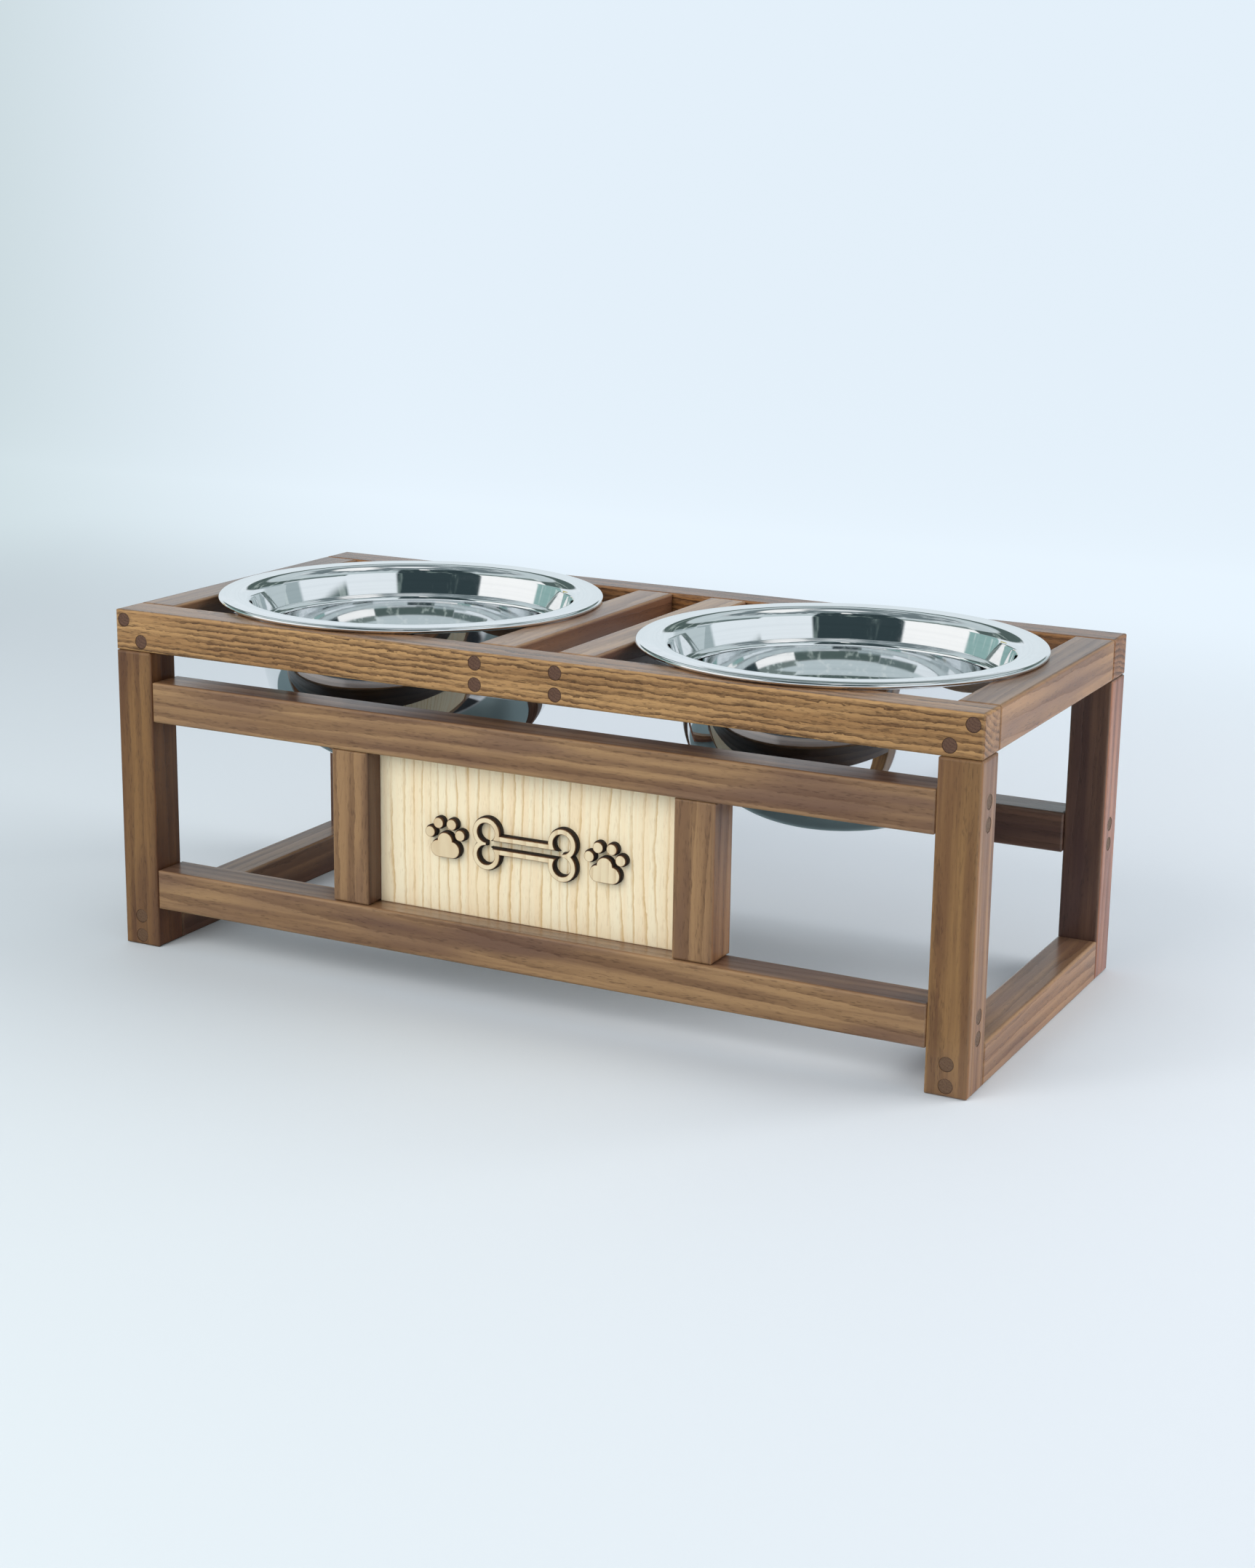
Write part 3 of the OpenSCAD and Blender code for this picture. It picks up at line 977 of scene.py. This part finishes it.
@dataclass(frozen=True)
class FloorFinish:
    """Matt pale paper, which turns to a glowing written colour far away and up the backdrop,
    with painted shade that dims it towards the left.

    Polished steel sees painted reflections in it: painted shade under the stand and a painted
    dark room in front of it, up to a line on the right, and the backdrop in painted colours,
    darker on the right. Pairs other than the heading and shaded, which are directions, are the
    metres over which one tone turns into the next.
    """

    name: str
    wall: Colour
    heading: Pair
    left: Colour = srgb(226, 234, 238)
    right: Colour = srgb(226, 232, 239)
    left_painted_shade: Colour = srgb(194, 209, 212)
    under_painted_shade: Colour = srgb(112, 130, 134)
    painted_room: Colour = srgb(34, 40, 46)
    mirrored: Colour = srgb(220, 231, 237)
    mirrored_right: Colour = srgb(184, 198, 202)
    shaded: Pair = (0.75, 0.66)
    fall: Pair = (-0.75, 0.30)
    stand: Pair = (-0.35, 0.125)
    bend: Pair = (0.55, 1.5)
    reach: Pair = (1.2, 2.2)
    mirrored_fall: Pair = (0.1, 0.5)
    under_right: float = 0.21
    room_right: float = 0.15
    room_end: float = 9.0
    room_soft: float = 0.012
    side_soft: float = 0.01
    front_lift: float = -3.0
    rough: float = 0.6
    specular: float = 0.2

    def build(self) -> Material:
        """The finished material."""
        material, graph, shader = new_material(self.name)
        place = graph.add("ShaderNodeTexCoord").outputs["Object"]
        path = graph.add("ShaderNodeLightPath").outputs
        right_of, away, _ = graph.split(place)
        paper = graph.noise(place, 1.2, 2.0)
        across = graph.vector("DOT_PRODUCT", place, (*self.shaded, 0.0))
        side = graph.math("MULTIPLY_ADD", paper, 0.1, graph.ramp(across, *self.fall))
        tone = graph.blend(side, self.left, self.right)
        ahead = graph.vector("DOT_PRODUCT", place, (*self.heading, 0.0))
        beside = graph.vector("DOT_PRODUCT", place, (-self.heading[1], self.heading[0], 0.0))
        # Painted reflections: only glossy rays see a painted shade under the stand and a painted dark room in
        # front of it.
        patches = (
            (self.under_painted_shade, *self.stand, self.under_right),
            (self.painted_room, self.stand[1], self.room_end, self.room_right),
        )
        for colour, start, end, line in patches:
            patch = graph.band(ahead, start, end, self.room_soft)
            patch = graph.math("MULTIPLY", patch, path["Is Glossy Ray"])
            cover = graph.ramp(beside, line - self.side_soft, line + self.side_soft, 1.0, 0.0)
            tone = graph.blend(graph.math("MULTIPLY", patch, cover), tone, colour)
        distance = graph.vector("LENGTH", graph.join(right_of, away, 0.0))
        far = graph.math("MAXIMUM", graph.ramp(away, *self.bend), graph.ramp(distance, *self.reach))
        seen = graph.math("MAXIMUM", path["Is Camera Ray"], path["Is Glossy Ray"])
        glow = graph.math("MULTIPLY", far, seen)
        # Painted shade: the glowing backdrop turns dimmer towards the left.
        level = graph.math("MULTIPLY_ADD", graph.math("MINIMUM", away, 0.0), self.front_lift, across)
        shade = graph.blend(graph.ramp(level, *self.fall), self.left_painted_shade, self.wall)
        # Painted reflection: glossy rays see the backdrop in its own colours, darker on the right.
        mirrored = graph.blend(graph.ramp(right_of, *self.mirrored_fall), self.mirrored, self.mirrored_right)
        shade = graph.blend(path["Is Glossy Ray"], shade, mirrored)
        graph.fill(shader, {
            "Base Color": graph.blend(glow, tone, BLACK),
            "Emission Color": graph.blend(glow, BLACK, shade),
            "Emission Strength": 1.0,
            "Roughness": self.rough,
            "Specular IOR Level": self.specular,
        })
        return material


@dataclass(frozen=True)
class Reflection:
    """One field of the painted room that only glossy rays see, as ranges of headings and heights in degrees.

    A heading of nought is the camera's side of the room, and positive ones lie to its right
    in the picture. Heights are measured up from level.
    """

    headings: Pair
    heights: Pair
    colour: Colour
    blotch: Colour
    soft: float = 1.2


@dataclass(frozen=True)
class Lamp:
    """A rectangular soft lamp: where it hangs, its size, its power in watts and its colour."""

    name: str
    place: Triple
    size: Pair
    power: float
    colour: Colour = (1.0, 0.98, 0.95)

    def build(self, aim: Vector) -> None:
        """Hangs the lamp, out of sight of the steel.

        Args:
            aim: The point that it faces.
        """
        data = bpy.data.lights.new(self.name, "AREA")
        data.shape = "RECTANGLE"
        data.size, data.size_y = self.size
        data.energy = self.power
        data.color = self.colour
        lamp = bpy.data.objects.new(self.name, data)
        bpy.context.scene.collection.objects.link(lamp)
        lamp.location = self.place
        lamp.rotation_euler = (aim - Vector(self.place)).to_track_quat("-Z", "Y").to_euler()
        lamp.visible_glossy = False


@dataclass
class Studio:
    """The sweep, the lamps, the sky light and the camera."""

    image_size: Pair = (1725.0, 2156.0)
    image_centre: Pair = (930.0, 1040.0)
    focal_pixels: float = 3499.3
    sensor: float = 36.0
    target: Triple = (0.04567, 0.0, 0.14882)
    distance: float = 1.72258
    yaw: float = 0.45428
    pitch: float = 0.24288
    roll: float = 0.01894
    clip_end: float = 50.0
    sweep_half: float = 6.0
    sweep_back: float = 2.6
    sweep_bend: float = 0.8
    sweep_top: float = 0.86
    bend_steps: int = 16
    sky: float = 0.54
    sky_colour: Colour = srgb(240, 249, 255)
    wall: Colour = srgb(227, 239, 249)
    low_room: Colour = srgb(226, 236, 242)
    high_room: Colour = srgb(240, 245, 248)
    aim: Triple = (0.0, 0.0, 0.12)
    lamps: tuple[Lamp, ...] = (
        Lamp("key_lamp", (-0.8, -2.3, 1.7), (2.2, 2.0), 46.0),
        Lamp("side_lamp", (1.9, 0.8, 1.2), (1.6, 1.4), 31.0),
        Lamp("top_lamp", (-0.2, 0.4, 2.6), (1.8, 1.2), 3.0, (0.98, 0.99, 1.0)),
    )
    # Painted reflections and painted highlights: fields of the room that only glossy rays see.
    reflections: tuple[Reflection, ...] = (
        Reflection((-200, 200), (31, 49), srgb(190, 204, 208), srgb(206, 217, 219), 2.0),
        Reflection((-200, 200), (49, 82), srgb(112, 126, 130), srgb(206, 216, 220), 3.0),
        Reflection((62, 150), (62, 77), srgb(250, 252, 252), srgb(236, 240, 242), 2.0),
        Reflection((118, 200), (14.5, 31), srgb(82, 98, 96), srgb(150, 164, 160), 1.5),
        Reflection((-200, -112), (15.5, 31), srgb(82, 98, 96), srgb(150, 164, 160), 1.5),
        Reflection((58, 118), (21, 32), srgb(100, 116, 116), srgb(150, 164, 162), 1.5),
        Reflection((99, 152), (-90, 18), srgb(158, 174, 178), srgb(190, 204, 206), 2.0),
        Reflection((-112, -48), (-90, 28), srgb(252, 254, 254), srgb(252, 254, 254)),
        Reflection((-134, -101), (-90, 15.5), srgb(142, 176, 174), srgb(188, 208, 206)),
        Reflection((-147, -137), (-90, 9), srgb(186, 174, 96), srgb(206, 196, 126)),
        Reflection((-112, -20), (28, 37), srgb(116, 130, 128), srgb(172, 186, 184), 1.5),
        Reflection((-48, 18), (17.5, 62), srgb(50, 64, 68), srgb(112, 128, 126)),
        Reflection((-12, -2), (56, 66), srgb(250, 252, 252), srgb(250, 252, 252)),
    )

    def sweep(self) -> None:
        """A floor that curves up into a backdrop."""
        work = bmesh.new()
        start = self.sweep_back - self.sweep_bend
        points = [Vector((0.0, -self.sweep_half, 0.0)), Vector((0.0, start, 0.0))]
        for step in range(1, self.bend_steps + 1):
            angle = math.pi / 2 * step / self.bend_steps
            points.append(Vector((0.0, start + self.sweep_bend * math.sin(angle),
                                  self.sweep_bend * (1 - math.cos(angle)))))
        points.append(Vector((0.0, self.sweep_back, self.sweep_top)))
        verts = [work.verts.new(point - Vector((self.sweep_half, 0.0, 0.0))) for point in points]
        edges = [work.edges.new(pair) for pair in zip(verts, verts[1:])]
        moved = bmesh.ops.extrude_edge_only(work, edges=edges)
        side = [v for v in moved["geom"] if isinstance(v, Vert)]
        bmesh.ops.translate(work, verts=side, vec=(2 * self.sweep_half, 0.0, 0.0))
        floor = Piece.finish_mesh(work, "studio_sweep", smooth_angle=60.0)
        heading = (math.sin(self.yaw), -math.cos(self.yaw))
        Piece.dress(floor, FloorFinish("studio_paper", self.wall, heading).build())

    def lights(self) -> None:
        """A key lamp in front on the left, a side lamp on the right and behind, and a top lamp."""
        for lamp in self.lamps:
            lamp.build(Vector(self.aim))

    def world(self) -> None:
        """Plain sky light for the camera and matt surfaces, and a painted room that only glossy rays see."""
        world = bpy.data.worlds.new("studio_air")
        bpy.context.scene.world = world
        world.use_nodes = True
        world.node_tree.nodes.clear()
        graph = Graph(world.node_tree)
        direction = graph.add("ShaderNodeTexCoord").outputs["Generated"]
        ahead = (math.sin(self.yaw), -math.cos(self.yaw), 0.0)
        beside = (math.cos(self.yaw), math.sin(self.yaw), 0.0)
        turn = graph.math("ARCTAN2", graph.vector("DOT_PRODUCT", direction, beside),
                          graph.vector("DOT_PRODUCT", direction, ahead))
        heading = graph.math("MULTIPLY", turn, math.degrees(1.0))
        _, _, up = graph.split(direction)
        height = graph.math("MULTIPLY", graph.math("ARCSINE", up), math.degrees(1.0))
        # Painted reflections: a painted room, with painted highlights and dark fields, that only glossy rays
        # see.
        painted_room = graph.blend(graph.ramp(height, 5.0, 70.0), self.low_room, self.high_room)
        blotches = graph.ramp(graph.noise(direction, (7, 7, 3), 3.0, 0.6), 0.54, 0.66)
        for part in self.reflections:
            wide = graph.band(heading, *part.headings, part.soft)
            tall = graph.band(height, *part.heights, part.soft)
            tone = graph.blend(blotches, part.colour, part.blotch)
            painted_room = graph.blend(graph.math("MULTIPLY", wide, tall), painted_room, tone)
        path = graph.add("ShaderNodeLightPath").outputs
        plain = graph.math("MAXIMUM", path["Is Glossy Ray"], path["Is Camera Ray"])
        strength = graph.math("MULTIPLY_ADD", plain, 1.0 - self.sky, self.sky)
        seen = graph.blend(path["Is Camera Ray"], self.sky_colour, self.wall)
        seen = graph.blend(path["Is Glossy Ray"], seen, painted_room)
        backdrop = graph.add("ShaderNodeBackground", {"Color": seen, "Strength": strength})
        graph.add("ShaderNodeOutputWorld", {"Surface": backdrop.outputs[0]})

    def camera(self) -> None:
        """The camera at the photograph's angle, set as the scene's own."""
        flat = math.cos(self.pitch)
        back = Vector((math.sin(self.yaw) * flat, -math.cos(self.yaw) * flat, math.sin(self.pitch)))
        right = Vector((math.cos(self.yaw), math.sin(self.yaw), 0.0))
        up = back.cross(right)
        level = math.cos(self.roll) * right + math.sin(self.roll) * up
        upright = -math.sin(self.roll) * right + math.cos(self.roll) * up
        data = bpy.data.cameras.new("photo_camera")
        data.sensor_fit = "HORIZONTAL"
        data.sensor_width = self.sensor
        width, height = self.image_size
        data.lens = self.focal_pixels / width * self.sensor
        data.shift_x = (width / 2 - self.image_centre[0]) / width
        data.shift_y = (self.image_centre[1] - height / 2) / width
        data.clip_end = self.clip_end
        camera = bpy.data.objects.new("photo_camera", data)
        bpy.context.scene.collection.objects.link(camera)
        camera.matrix_world = Matrix((level, upright, back)).transposed().to_4x4()
        camera.location = Vector(self.target) + self.distance * back
        bpy.context.scene.camera = camera


def main(frame: dict) -> None:
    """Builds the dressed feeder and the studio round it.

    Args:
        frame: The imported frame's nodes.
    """
    nodes = frame["nodes"]
    rail_plug = PlugFinish("rail_dowel_wood", srgb(102, 73, 56), srgb(82, 57, 45), srgb(42, 28, 23),
                           outline=1.0).build()
    leg_plug = PlugFinish("leg_dowel_wood", srgb(106, 79, 56), srgb(94, 68, 49), srgb(58, 39, 29),
                          outline=0.6).build()
    TimberStand(nodes).build(leg_plug)
    dowels = (
        ("corner_dowels", AXIS_Y, rail_plug),
        ("cross_rail_dowels", AXIS_Y, rail_plug),
        ("stretcher_dowels", AXIS_X, leg_plug),
        ("bottom_rail_dowels", AXIS_Y, leg_plug),
    )
    for name, axis, plug in dowels:
        DowelSet(nodes[name], axis).build(plug)
    face = CutWoodFinish("motif_pale_wood", srgb(236, 218, 182), srgb(200, 166, 120), srgb(150, 106, 64),
                         srgb(58, 36, 22)).build()
    backing = CutWoodFinish("motif_scorched_wood", srgb(52, 36, 26), srgb(38, 26, 20), srgb(28, 18, 14),
                            srgb(30, 20, 15)).build()
    for shape in ("bone", "left_paw", "right_paw"):
        Motif(nodes[shape + "_backing"], "motif_scorched").build(backing)
        Motif(nodes[shape + "_face"], "motif_pale").build(face)
    for side in ("left", "right"):
        node = nodes[side + "_bowl"]
        centre, _ = Piece.placed(node.name)
        steel = SteelFinish(side + "_bowl_polish", centre).build()
        Bowl(node, side + "_bowl_body").build(steel, side + "_steel_bowl")
    studio = Studio()
    studio.sweep()
    studio.lights()
    studio.world()
    studio.camera()
    bpy.context.scene.view_settings.view_transform = "Standard"


if __name__ == "__main__":
    logging.basicConfig(level=logging.INFO, format="%(name)s: %(message)s")
    packed_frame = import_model()
    main(packed_frame)
